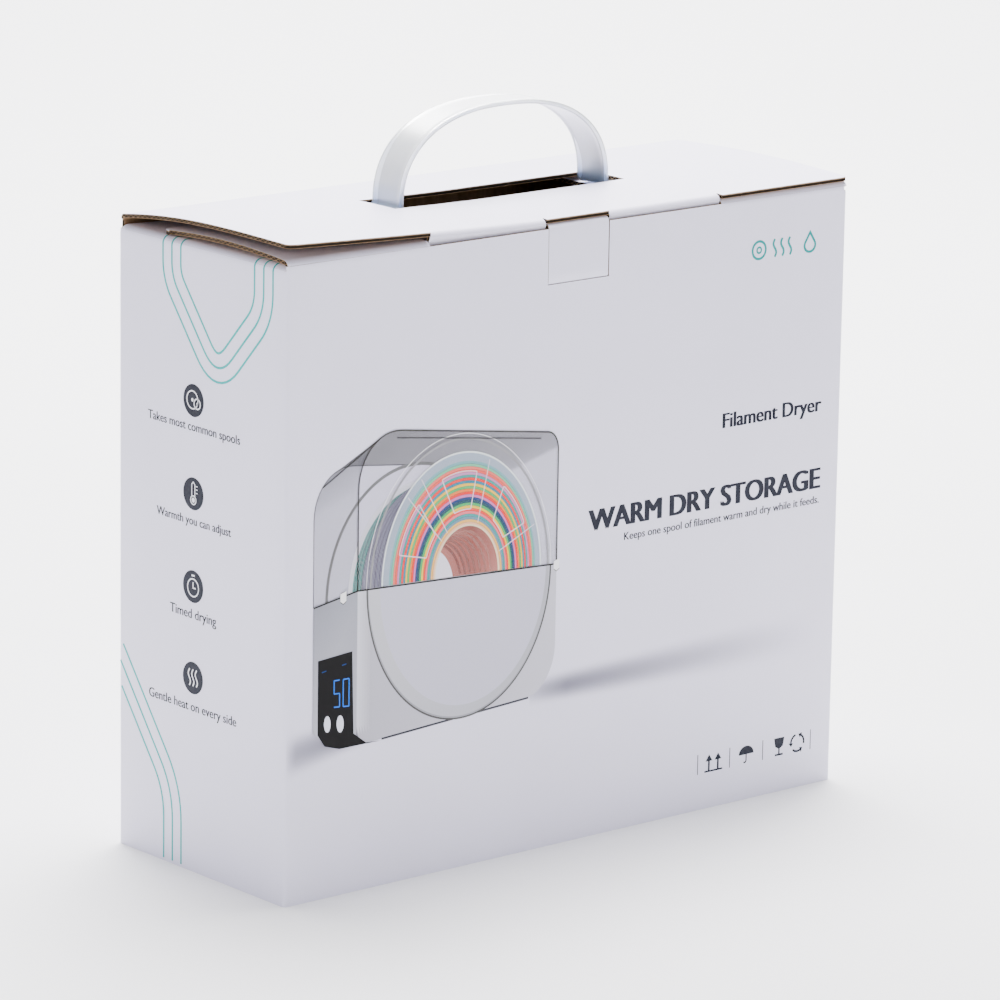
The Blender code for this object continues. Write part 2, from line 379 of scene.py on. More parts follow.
def wall_path():
    """Stations around the carton: (outer x, y, inner x, y, wall); build_walls adds up the distance along
    them.
    """
    stations = []
    corners = [(-1, -1, "front"), (1, -1, "right"), (1, 1, "back"), (-1, 1, "left")]
    spans = {
        "front": stops([-HALF_X + CORNER, -TUCK_OUT - 1.0, -TUCK_OUT, -TAB_HALF], 12.0)
        + stops([TAB_HALF, TUCK_OUT, TUCK_OUT + 1.0, HALF_X - CORNER], 12.0),
        "back": stops([-HALF_X + CORNER, HALF_X - CORNER], 12.0),
        "side": stops([-HALF_Y + CORNER, HALF_Y - CORNER], 9.0),
    }
    for sx, sy, wall in corners:
        start = {"front": 180, "right": 270, "back": 0, "left": 90}[wall]
        cx, cy = sx * (HALF_X - CORNER), sy * (HALF_Y - CORNER)
        for k in range(1, 5):
            angle = math.radians(start + 90 * k / 5)
            ox = cx + CORNER * math.cos(angle)
            oy = cy + CORNER * math.sin(angle)
            small = CORNER - BOARD
            ix = cx + small * math.cos(angle)
            iy = cy + small * math.sin(angle)
            stations.append((ox, oy, ix, iy, wall if k > 2 else "corner" + wall))
        if wall == "front":
            stations += [(x, -HALF_Y, x, -IN_Y, wall) for x in spans["front"]]
        elif wall == "right":
            stations += [(HALF_X, y, IN_X, y, wall) for y in spans["side"]]
        elif wall == "back":
            stations += [(-x, HALF_Y, -x, IN_Y, wall) for x in spans["back"]]
        else:
            stations += [(-HALF_X, -y, -IN_X, -y, wall) for y in spans["side"]]
    return stations


def build_walls():
    stations = wall_path()
    count = len(stations)
    tops = {"front": FRONT_TOP, "back": BACK_TOP, "left": SIDE_TOP, "right": SIDE_TOP}
    rows = stops([0.0, 1.2, SLOT_BOTTOM, 270.0, SIDE_CENTRE], 14.0)
    rows += [SIDE_CENTRE + 0.8, SIDE_TOP, FRONT_CENTRE, FRONT_CENTRE + 0.8]
    rows += [FRONT_TOP, BACK_CENTRE, BACK_TOP]

    def top_of(i):
        kind = stations[i % count][4]
        after = stations[(i + 1) % count][4]
        names = [k.replace("corner", "") for k in (kind, after)]
        heights = [tops[n] for n in names]
        if "corner" in kind or "corner" in after:
            return min(min(heights), FRONT_TOP)
        return min(heights)

    def filled(i, j):
        if rows[j + 1] > top_of(i) + 0.01:
            return False
        x0, x1 = stations[i][0], stations[(i + 1) % count][0]
        front = stations[i][4] == "front" and stations[(i + 1) % count][4] == "front"
        middle = abs((x0 + x1) / 2)
        return not (front and middle < TAB_HALF and rows[j] >= SLOT_BOTTOM - 0.01)

    def place(i, j, side):
        ox, oy, ix, iy, wall = stations[i % count]
        z = rows[j]
        x, y = (ox, oy) if side else (ix, iy)
        # The back panel bellies outwards a little; each wall's face turns in at its crease.
        belly = math.sin(math.pi * min(z / 270.0, 1.0))
        if wall == "back":
            y += 0.5 * belly * math.cos(math.pi * ox / (2 * HALF_X)) * (abs(ox) < 157.0)
            y -= lean_in(z, BACK_CENTRE)
        elif wall == "front" and abs(ox) > TUCK_OUT + 0.2:
            y += lean_in(z, FRONT_CENTRE)
        elif wall == "left":
            x += lean_in(z, SIDE_CENTRE)
        elif wall == "right":
            x -= lean_in(z, SIDE_CENTRE)
        return (x, y, z)

    distance = [0.0]
    for a, b in zip(stations, stations[1:] + stations[:1]):
        distance.append(distance[-1] + math.hypot(b[0] - a[0], b[1] - a[1]))
    walls = sheet("carton_walls", distance, rows, filled, place, True, True)
    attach(walls, "carton")
    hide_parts("wall_front", "wall_back", "wall_left", "wall_right")


# -------------------------------------------------------------------- flaps


def flap(name, columns, lengths, filled, point, node, across=True):
    """A folded flap. lengths runs from the crease; point(c, l, side) places a corner."""

    def place(i, j, side):
        return point(columns[i], lengths[j], side)

    obj = sheet(name, columns, lengths, filled, place, across)
    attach(obj, node)
    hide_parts(node)


def lean_in(z, centre):
    """How far the wall's face has curved inwards at a height near its crease."""
    t = min(max((z - centre) / CREASE, 0.0), 1.0)
    return CREASE * (1.0 - math.sqrt(1.0 - t * t))


def turn_length(start):
    """Length along the outer face from where a flap takes over the fold to its flat part."""
    return CREASE * (math.pi / 2 - start)


def creased(l, side, start):
    """(in from the wall's face, up from the fold's centre) along a flap's inner or outer face."""
    r = CREASE if side else CREASE - BOARD
    turn = turn_length(start)
    if l < turn:
        angle = start + l / CREASE
        return CREASE - r * math.cos(angle), r * math.sin(angle)
    return CREASE + l - turn, r


DUST_START = math.asin((SIDE_TOP + 0.05 - SIDE_CENTRE) / CREASE)
INNER_START = math.asin((FRONT_TOP + 0.05 - FRONT_CENTRE) / CREASE)


DUST_REACH = 75.0
INNER_REACH = 89.0
ROUNDING = 6.0


def build_dust_flaps():
    turn = turn_length(DUST_START)
    reach = DUST_REACH - CREASE + turn
    lengths = stops([0.0, turn], 0.7)[:-1] + stops([turn, reach - 4.0, reach], 9.0)
    for name, side in (("left", -1.0), ("right", 1.0)):
        columns = stops([-1.0, 1.0], 0.08)

        def point(c, l, s, side=side):
            out, up = creased(l, s, DUST_START)
            front = -IN_Y + 0.4 + 0.45 * max(out - 1.0, 0.0)
            back = IN_Y - 0.4 - 0.2 * max(out - 1.0, 0.0)
            round_off = max(0.0, out - (DUST_REACH - 4.0))
            front += round_off
            back -= round_off
            y = front + (back - front) * (1.0 - c * side) / 2
            return (side * (HALF_X - out), y, SIDE_CENTRE + up)

        # Columns run so that the outer face looks up and away from the carton.
        if side < 0:
            columns = columns[::-1]
        node = "dust_flap_" + name
        flap(node + "_board", columns, lengths, whole, point, node)


# The inner flap is cut away under the lid's window: from x to x, behind y.
HAND_CUT = (-58.0, 60.0, -12.0)


def build_inner_flap():
    turn = turn_length(INNER_START)
    reach = INNER_REACH - CREASE + turn
    side = HALF_X - 0.3
    crease = stops([0.0, turn], 0.6)[:-1]

    def along(y):
        return y + HALF_Y - CREASE + turn

    lip, tab, cut = along(-54.4), along(-44.5), along(HAND_CUT[2])
    marks = [turn, lip, tab, cut, reach - ROUNDING, reach - 2.0, reach]
    lengths = crease + stops(marks, 9.0)
    xs = [-side, -side + 1.5, -side + 6.0, -TUCK_OUT - 0.5, HAND_CUT[0], -TAB_HALF - 0.1]
    xs += [TAB_HALF + 0.1, HAND_CUT[1], TUCK_OUT + 0.5, side - 6.0, side - 1.5, side]
    columns = stops(xs, 10.0)

    def filled(i, j):
        middle = (columns[i] + columns[i + 1]) / 2
        l = (lengths[j] + lengths[j + 1]) / 2
        if abs(middle) < TUCK_OUT + 0.5 and l < lip:
            return False
        if abs(middle) < TAB_HALF + 0.1 and l < tab:
            return False
        return not (HAND_CUT[0] < middle < HAND_CUT[1] and l > cut)

    def point(c, l, s):
        out, up = creased(l, s, INNER_START)
        v = min(max(out / INNER_REACH, 0.0), 1.0)
        left = max(0.0, (-c - 60.0) / 100.0) ** 1.5
        right = max(0.0, (c - 60.0) / 100.0) ** 1.5
        rise = left * 2.4 * math.sin(math.pi * v) ** 0.8 + right * 0.8 * math.sin(math.pi * v)
        # The free corners are rounded.
        short = 0.0
        within = ROUNDING - (side - abs(c))
        if within > 0.0:
            short = ROUNDING - math.sqrt(max(0.0, ROUNDING**2 - within**2))
        return (c, -HALF_Y + min(out, INNER_REACH - short), FRONT_CENTRE + up + rise)

    flap("inner_flap_board", columns, lengths, filled, point, "inner_flap", False)


# ---------------------------------------------------------------------- lid

# The window goes from x to x and as far either side of y = 0; the notch is a half width.
WINDOW = (-65.0, 67.0, 12.5)
NOTCH = 17.7
LIP_Y = -55.8


def lid_rise(x, y):
    """How far the lid stands above flat: its left end lifts at the front, its middle bows."""
    v = min(max((y + HALF_Y) / (2 * HALF_Y), 0.0), 1.0)
    lift = max((-17.0 - x) / 143.0, 0.0) ** 1.3
    corner = 5.2 * math.cos(math.pi / 2 * v * v) + 0.7 * math.sin(math.pi * v)
    return lift * corner + (1.0 - lift) * 2.0 * math.sin(math.pi * v)


def build_lid():
    """The lid and its two tuck lips, one continuous board from lips to back crease."""
    slit = 0.5
    notch_out = NOTCH + slit
    bend_outer = 2.6
    # Rows, as named stations from the lips' lower edge to the back crease.
    lip_low = [267.0, 268.5, 272.0, 276.0, 278.4]
    turn = [0.0, 0.25, 0.5, 0.75, 1.0]
    flat = stops([LIP_Y, -WINDOW[2], WINDOW[2], HALF_Y - CREASE], 8.0)
    curl = [0.25, 0.5, 0.75, 1.0]
    rows = [("lip", z) for z in lip_low] + [("turn", t) for t in turn]
    rows += [("flat", y) for y in flat[1:]] + [("curl", t) for t in curl]
    first_turn = len(lip_low)
    first_flat = first_turn + len(turn) - 1

    marks = [-HALF_X, -HALF_X + 1.0, -HALF_X + 3.5, -HALF_X + 8.0, -TUCK_OUT - slit, -TUCK_OUT]
    marks += [WINDOW[0], -notch_out, -NOTCH, NOTCH, notch_out, WINDOW[1], TUCK_OUT]
    marks += [TUCK_OUT + slit, HALF_X - 8.0, HALF_X - 3.5, HALF_X - 1.0, HALF_X]
    columns = stops(marks, 8.0)
    limits = [(NOTCH, "notch"), (notch_out, "slit"), (TUCK_OUT, "lip"), (TUCK_OUT + slit, "slit")]

    def kind(x):
        """What the lid's front edge is at x: notch, slit, lip or plain."""
        for limit, sort in limits:
            if abs(x) < limit - 0.01:
                return sort
        return "flat"

    def filled(i, j):
        x = (columns[i] + columns[i + 1]) / 2
        sort = kind(x)
        if j < first_turn:
            return sort == "lip"
        if j < first_flat:
            return sort in ("lip", "flat") or (sort == "notch" and j >= first_flat - 3)
        a, b = rows[j], rows[j + 1]
        inside = a[0] == "flat" or j == first_flat
        low = LIP_Y if j == first_flat else a[1]
        if inside and b[0] == "flat":
            middle = (low + b[1]) / 2
            return not (WINDOW[0] < x < WINDOW[1] and abs(middle) < WINDOW[2])
        return True

    def on_lip(x):
        return notch_out - 0.01 <= abs(x) <= TUCK_OUT + 0.01

    def place(i, j, side):
        x = columns[i]
        name, value = rows[j]
        up = BOARD if side else 0.0
        rise = lid_rise(x, -HALF_Y)
        if name == "lip":
            lean = min(1.0, max(0.0, (value - 276.0) / 2.4))
            y = -56.75 - 0.75 * lean + (0.0 if side else BOARD)
            taper = max(0.0, 272.0 - value) * 0.55
            if abs(x) > TUCK_OUT - 3.0:
                x = math.copysign(abs(x) - taper, x)
            return (x, y, value + rise * lean)
        if name == "turn" and on_lip(x):
            angle = math.pi / 2 * value
            radius = bend_outer if side else bend_outer - BOARD
            cy, cz = LIP_Y, LID_LOW + BOARD - bend_outer + rise
            return (x, cy - radius * math.cos(angle), cz + radius * math.sin(angle))
        if name == "turn":
            y = -HALF_Y + (HALF_Y + LIP_Y) * value
            corner = HALF_X - abs(x)
            if corner < 3.5:
                y += 0.6 * (3.5 - math.sqrt(max(0.0, 12.25 - (3.5 - corner) ** 2))) * (1 - value)
            return (x, y, LID_LOW + lid_rise(x, y) + up)
        if name == "flat":
            return (x, value, LID_LOW + lid_rise(x, value) + up)
        angle = math.radians(62.0) * value
        radius = CREASE if side else CREASE - BOARD
        cy = HALF_Y - CREASE
        top = lid_rise(x, cy) * (1 - value)
        x = math.copysign(min(abs(x), HALF_X - 1.2 * value), x)
        return (x, cy + radius * math.sin(angle), BACK_CENTRE + radius * math.cos(angle) + top)

    # Where each row falls along the board, for the flutes: (start, growth) by the row's name.
    along = {"lip": (-340.0, 1.0), "turn": (-60.0, 4.0), "flat": (0.0, 1.0), "curl": (HALF_Y, 3.0)}
    positions = [along[name][0] + along[name][1] * value for name, value in rows]
    lid = sheet("lid_board", columns, positions, filled, place, False)
    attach(lid, "lid")
    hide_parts("lid_panel", "tuck_lip_left", "tuck_lip_right")


def build_tab():
    """The press-in tab: a plate in the wall's slot with its top bent back under the lid."""
    bend = 2.4
    quarter = bend * math.pi / 2
    foot = SLOT_BOTTOM + 0.15
    plate = 281.0 - bend - foot
    lengths = [0.0, 0.4] + stops([0.9, plate], 4.0) + stops([plate, plate + quarter], 0.7)[1:]
    lengths += stops([plate + quarter, plate + quarter + 7.0], 3.0)[1:]
    columns = stops([-17.25, -16.6, 16.3, 16.95], 6.0)

    def place(i, j, side):
        x, l = columns[i], lengths[j]
        if l <= plate:
            # The foot's crease is pressed in outside, and cut back inside to clear the slot.
            if side:
                return (x, -HALF_Y + 0.45 * max(0.0, 1.0 - l / 0.9), foot + l)
            return (x, -HALF_Y + BOARD, foot + max(l, 0.35))
        angle = min((l - plate) / bend, math.pi / 2)
        radius = bend if side else bend - BOARD
        cy, cz = -HALF_Y + bend, foot + plate
        run = max(0.0, l - plate - quarter)
        return (x, cy - radius * math.cos(angle) + run, cz + radius * math.sin(angle))

    tab = sheet("thumb_tab_board", columns, lengths, whole, place, True)
    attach(tab, "thumb_tab")
    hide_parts("thumb_tab")


# ------------------------------------------------------------------- bottom


def build_flat_board(name, outline, low, node):
    """A flat flap from its outline, white below and kraft above."""
    points, faces, slots, uvs = [], [], [], []
    count = len(outline)
    for z in (low, low + BOARD):
        points += [(x, y, z) for x, y in outline]
    faces += [list(range(count))[::-1], list(range(count, 2 * count))]
    slots += [0, 1]
    uvs += [(0.0, 0.0)] * (2 * count)
    base = len(points)
    for z in (low, low + BOARD):
        points += [(x, y, z) for x, y in outline]
    for i in range(count):
        j = (i + 1) % count
        faces.append([base + i, base + j, base + count + j, base + count + i])
        slots.append(2)
        ua, ub = outline[i][0], outline[j][0]
        uvs += [(ua, 0.0), (ub, 0.0), (ub, 1.0), (ua, 1.0)]
    obj = make(name, points, faces, [WHITE, KRAFT, EDGE], slots, False, uvs)
    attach(obj, "carton")
    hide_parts(node)


def corner_curve(before, here, after, radius, share, steps):
    """A corner cut to a curve of about the radius, on at most a share of either side."""
    p = Vector(here)
    a, b = Vector(before) - p, Vector(after) - p
    reach = min(radius, a.length * share, b.length * share)
    start, end = p + a.normalized() * reach, p + b.normalized() * reach
    found = []
    for k in range(steps + 1):
        t = k / steps
        q = start * (1 - t) ** 2 + p * 2 * t * (1 - t) + end * t * t
        found.append((q.x, q.y))
    return found


def rounded(outline, radius):
    """A closed outline with each corner curved."""
    found = []
    for i, here in enumerate(outline):
        after = outline[(i + 1) % len(outline)]
        found += corner_curve(outline[i - 1], here, after, radius, 0.45, 4)
    return found


def mirrored(outline):
    return [(-a, b) for a, b in outline][::-1]


def build_bottom():
    in_x, in_y = IN_X - 0.2, IN_Y - 0.2
    half_front = [(in_x, -in_y), (in_x, 0.0), (104.0, 12.0), (62.0, 12.0), (55.0, 30.0)]
    front = rounded(half_front + mirrored(half_front), 4.0)
    build_flat_board("bottom_front_board", front, 0.0, "bottom_flap_front")
    side = [(-in_x, -in_y), (-112.0, -in_y), (-85.0, -20.0), (-85.0, 18.0)]
    side += [(-104.0, in_y), (-in_x, in_y)]
    side = rounded(side, 4.0)
    build_flat_board("bottom_left_board", side, 2.1, "bottom_flap_left")
    build_flat_board("bottom_right_board", mirrored(side), 2.1, "bottom_flap_right")
    half_back = [(57.0, 14.0), (62.0, -14.0), (112.0, -14.0), (in_x, 0.0), (in_x, in_y)]
    back = rounded(half_back + mirrored(half_back), 4.0)
    build_flat_board("bottom_back_board", back, 4.2, "bottom_flap_back")


def build_glue_tab():
    """The strip inside the left wall that holds the carton together, its free end sloped."""
    free, fixed, low, high, slope = 27.0, 57.2, 8.0, 270.0, 12.0
    columns = stops([free, free + 1.5, 56.0, fixed], 8.0)
    rows = stops([low, 20.0, 258.0, high], 20.0)

    def place(i, j, side):
        y = columns[len(columns) - 1 - i]
        drop = slope * (fixed - y) / (fixed - free)
        share = (rows[j] - low) / (high - low)
        z = low + drop + share * (high - low - 2.0 * drop)
        return (-IN_X + 0.05 + (0.0 if side else BOARD), y, z)

    tab = sheet("glue_tab_board", columns, rows, whole, place, True)
    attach(tab, "carton")
    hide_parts("glue_tab")


# -------------------------------------------------------------------- strap


def build_strap():
    """One moulded strip: both feet under the lid, both necks, and the arch between raised rims."""
    arch_half, arch_low, arch_rise = 58.9, 285.0, 40.4
    # Below this height and past this distance the strip is a foot, thinner and narrower.
    foot_top, foot_start = 287.0, 61.0
    power = 2.0 / 2.35
    path = []
    count = 72
    start = 0.05
    for i in range(count + 1):
        angle = start + (math.pi - 2 * start) * i / count
        c = math.cos(angle)
        x = arch_half * math.copysign(abs(c) ** power, c)
        z = arch_low + arch_rise * math.sin(angle) ** power
        path.append((x, z))
    tails = []
    for side in (1, -1):
        level = LID_LOW + lid_rise(side * 66.0, 0.0) - 1.3
        bend = ((arch_half, 3.2), (59.1, 1.8), (60.0, 0.6))
        foot = [(x, 0.0) for x in (61.6, 64.0, 68.0, 72.0, 76.0, 77.6)]
        tails.append([(side * x, level + up) for x, up in (*bend, *foot)])
    path = tails[0][::-1] + path + tails[1]
    half, rim, web = 10.0, 1.1, 0.62
    edge = [(half, rim * 0.6), (half - 0.5, rim), (half - 1.9, rim), (half - 2.6, web), (half - 5.0, web)]
    upper = [(-y, t) for y, t in edge] + [(0.0, web)] + edge[::-1]
    under = [(y, -t) for y, t in upper[::-1]]
    section = under[-1:] + upper + under[:-1]
    ring = len(section)
    points, faces = [], []
    last = len(path) - 1
    for i, (x, z) in enumerate(path):
        ax, az = path[max(i - 1, 0)]
        bx, bz = path[min(i + 1, last)]
        size = math.hypot(bx - ax, bz - az)
        nx, nz = (bz - az) / size, -(bx - ax) / size
        thin, narrow = (0.6, 0.9) if abs(x) > foot_start and z < foot_top else (1.0, 1.0)
        for y, t in section:
            points.append((x + nx * t * thin, y * narrow, z + nz * t * thin))
    for i in range(last):
        for k in range(ring):
            a, b = i * ring + k, i * ring + (k + 1) % ring
            faces.append((a, a + ring, b + ring, b))
    faces.append(tuple(range(ring)))
    faces.append(tuple(range(last * ring, (last + 1) * ring))[::-1])
    obj = make("strap_moulding", points, faces, [PLASTIC])
    edges = obj.modifiers.new("soft_edges", "SUBSURF")
    edges.levels = 1
    edges.render_levels = 1
    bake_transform(obj)
    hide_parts("handle_strap", "handle_anchor_left", "handle_anchor_right")


# -------------------------------------------------------------------- print


class Face:
    """Somewhere to print: maps (u, v) in millimetres and a tiny lift onto a wall."""

    def __init__(self, wall):
        self.wall = wall

    def at(self, u, v, lift):
        if self.wall == "front":
            return (u, -HALF_Y - lift, v)
        if self.wall == "dust":
            # v runs along the left dust flap from where it takes over the fold.
            r = CREASE + lift
            turn = turn_length(DUST_START)
            if v < turn:
                angle = DUST_START + v / CREASE
                return (-HALF_X + CREASE - r * math.cos(angle), -u, SIDE_CENTRE + r * math.sin(angle))
            return (-HALF_X + CREASE + v - turn, -u, SIDE_CENTRE + r)
        return (-HALF_X - lift + lean_in(v, SIDE_CENTRE), -u, v)


FRONT = Face("front")
LEFT = Face("left")
DUST = Face("dust")


def stroke(points, width, closed=False):
    """The outline quads of a line of even width through the points, with mitred joints."""
    count = len(points)
    left, right = [], []
    for i in range(count):
        p = Vector(points[i])
        before = Vector(points[i - 1] if (i or closed) else points[0])
        after = Vector(points[(i + 1) % count] if (i < count - 1 or closed) else points[-1])
        a = (p - before).normalized() if (p - before).length else (after - p).normalized()
        b = (after - p).normalized() if (after - p).length else a
        normal = Vector((-(a.y + b.y), a.x + b.x))
        normal = normal.normalized() if normal.length else Vector((-a.y, a.x))
        stretch = max(0.4, normal.dot(Vector((-a.y, a.x))))
        shift = normal * (width / 2 / stretch)
        left.append((p + shift)[:])
        right.append((p - shift)[:])
    return left, right


def smooth_line(points, radius, steps):
    """An open line through the points with its corners curved."""
    found = [points[0]]
    for before, here, after in zip(points, points[1:], points[2:]):
        found += corner_curve(before, here, after, radius, 0.5, steps)
    return found + [points[-1]]


def beside(points, distance):
    """The line shifted sideways by a distance."""
    left, right = stroke(points, 2 * abs(distance) if distance else 1e-6)
    return left if distance >= 0 else right


def cropped(points, low_u, low_v):
    """The stretch of a line inside the corner, ending on its two edges."""
    found = []
    for a, b in zip(points, points[1:]):
        for k in range(12):
            t = k / 12
            p = (a[0] + (b[0] - a[0]) * t, a[1] + (b[1] - a[1]) * t)
            if p[0] >= low_u and p[1] >= low_v:
                found.append(p)
    return found


class Print:
    """Collects flat shapes of one ink on one wall into a single thin mesh."""

    def __init__(self, name, face, mat, lift=0.06):
        self.name, self.face, self.mat, self.lift = name, face, mat, lift
        self.points, self.faces = [], []

    def polygon(self, outline):
        base = len(self.points)
        self.points += [self.face.at(u, v, self.lift) for u, v in outline]
        self.faces.append(list(range(base, base + len(outline))))

    def line(self, points, width, closed=False):
        left, right = stroke(points, width, closed)
        count = len(points)
        for i in range(count if closed else count - 1):
            j = (i + 1) % count
            self.polygon([left[i], right[i], right[j], left[j]])

    def disc(self, u, v, radius):
        self.polygon(oval(u, v, radius, radius, circle(40)))

    def ring(self, u, v, radius, width):
        self.line(oval(u, v, radius, radius, circle(40)), width, True)

    def text(self, words, u, v, width, bold, align):
        """Words fitted to a width on the baseline v, ending at u or centred on it."""
        curve = bpy.data.curves.new("words", "FONT")
        curve.body = words
        curve.resolution_u = 4
        holder = bpy.data.objects.new("words", curve)
        bpy.context.scene.collection.objects.link(holder)
        bpy.context.view_layer.update()
        shaped = holder.evaluated_get(bpy.context.evaluated_depsgraph_get())
        mesh = bpy.data.meshes.new_from_object(shaped)
        xs = [vertex.co.x for vertex in mesh.vertices]
        low, high = min(xs), max(xs)
        scale = width / (high - low)
        shift = {"RIGHT": -high, "CENTER": -(low + high) / 2}[align]
        # Heavier letters are the same outlines printed three times, a little apart.
        for k in (-1, 0, 1):
            base = len(self.points)
            for vertex in mesh.vertices:
                a, b = (vertex.co.x + shift) * scale, vertex.co.y * scale
                self.points.append(self.face.at(u + a + k * bold, v + b, self.lift + 0.004 * k))
            for face in mesh.polygons:
                self.faces.append([base + n for n in face.vertices])
        bpy.data.objects.remove(holder)
        bpy.data.meshes.remove(mesh)
        bpy.data.curves.remove(curve)

    def finish(self):
        obj = make(self.name, self.points, self.faces, [self.mat], None, False)
        turn_out(obj, self.face)
        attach(obj, "dust_flap_left" if self.face.wall == "dust" else "carton")


def circle(steps):
    return [2 * math.pi * k / steps for k in range(steps)]


def oval(u, v, wide, high, angles):
    """Points around (u, v) at the angles, in radians."""
    return [(u + wide * math.cos(t), v + high * math.sin(t)) for t in angles]


def wave(u, v, swing, bend, rise):
    """One rising wave of heat from its foot."""
    return [(u + swing * math.sin(s / 2 * bend), v + s / 2 * rise) for s in range(13)]


def turn_out(obj, face):
    """Faces the printed shapes away from the carton."""
    out = Vector({"front": (0, -1, 0), "left": (-1, 0, 0), "dust": (-1, 0, 1)}[face.wall])
    wrong = [p.index for p in obj.data.polygons if p.normal.dot(out) < 0]
    for index in wrong:
        obj.data.polygons[index].flip()


RECYCLING = (138.6, 21.3)


def print_front():
    """The front's mark, words and handling marks, from its centre line and its base."""
    teal = Print("front_mark", FRONT, TEAL)
    # A made-up mark: a ring, three rising waves and a drop.
    teal.ring(106.5, 255.5, 4.0, 1.15)
    teal.ring(106.5, 255.5, 1.3, 0.9)
    for k in range(3):
        teal.line(wave(116.0 + k * 4.6, 251.4, 0.9, 1.05, 1.36), 1.15)
    drop = oval(137.5, 254.3, 3.3, 3.0, [math.radians(a) for a in range(150, 391, 12)])
    teal.line(drop + [(137.5, 260.3)], 1.15, True)
    teal.finish()

    words = Print("front_words", FRONT, SLATE)
    words.text("Filament Dryer", 147.3, 176.6, 60.0, 0.38, "RIGHT")
    words.text("WARM DRY STORAGE", 147.6, 140.6, 138.6, 0.75, "RIGHT")
    words.finish()
    fine = Print("front_fine_words", FRONT, GREY_INK)
    line = "Keeps one spool of filament warm and dry while it feeds."
    fine.text(line, 147.6, 133.6, 118.0, 0.10, "RIGHT")
    fine.finish()

    marks = Print("front_handling_marks", FRONT, SLATE)
    for u in (77.0, 96.6, 117.0, 146.8):
        marks.line([(u, 16.8), (u, 26.2)], 0.45)
    # This way up.
    for u in (83.9, 89.4):
        marks.line([(u, 17.8), (u, 22.4)], 1.1)
        marks.polygon([(u - 2.1, 22.2), (u + 2.1, 22.2), (u, 25.3)])
    marks.line([(81.2, 17.4), (92.2, 17.4)], 0.8)
    # Keep dry.
    marks.polygon(oval(106.8, 21.4, 4.6, 4.0, [math.radians(a) for a in range(0, 181, 12)]))
    marks.line([(106.8, 21.4), (106.8, 18.3), (106.2, 17.6), (105.2, 17.7)], 0.7)
    # Handle with care: a stemmed glass.
    bowl = [(124.0, 25.6), (130.4, 25.6), (129.6, 21.6), (127.9, 20.6), (126.5, 20.6)]
    marks.polygon(bowl + [(124.8, 21.6)])
    marks.line([(127.2, 20.8), (127.2, 18.0)], 0.9)
    marks.line([(124.7, 17.6), (129.7, 17.6)], 0.9)
    # Recycling: three chasing arrows.
    for k in range(3):
        turn = math.radians(90 + 120 * k)
        marks.line(oval(*RECYCLING, 4.1, 4.1, [turn + s for s in (0.3, 0.7, 1.1, 1.5)]), 1.0)
        head = ((4.1, turn + 1.95), (2.7, turn + 1.5), (5.5, turn + 1.5))
        marks.polygon([oval(*RECYCLING, radius, radius, [t])[0] for radius, t in head])
    marks.finish()


MOTIF_GAP = 6.3
MOTIF_WIDTH = 1.05
ICON_U = -5.4


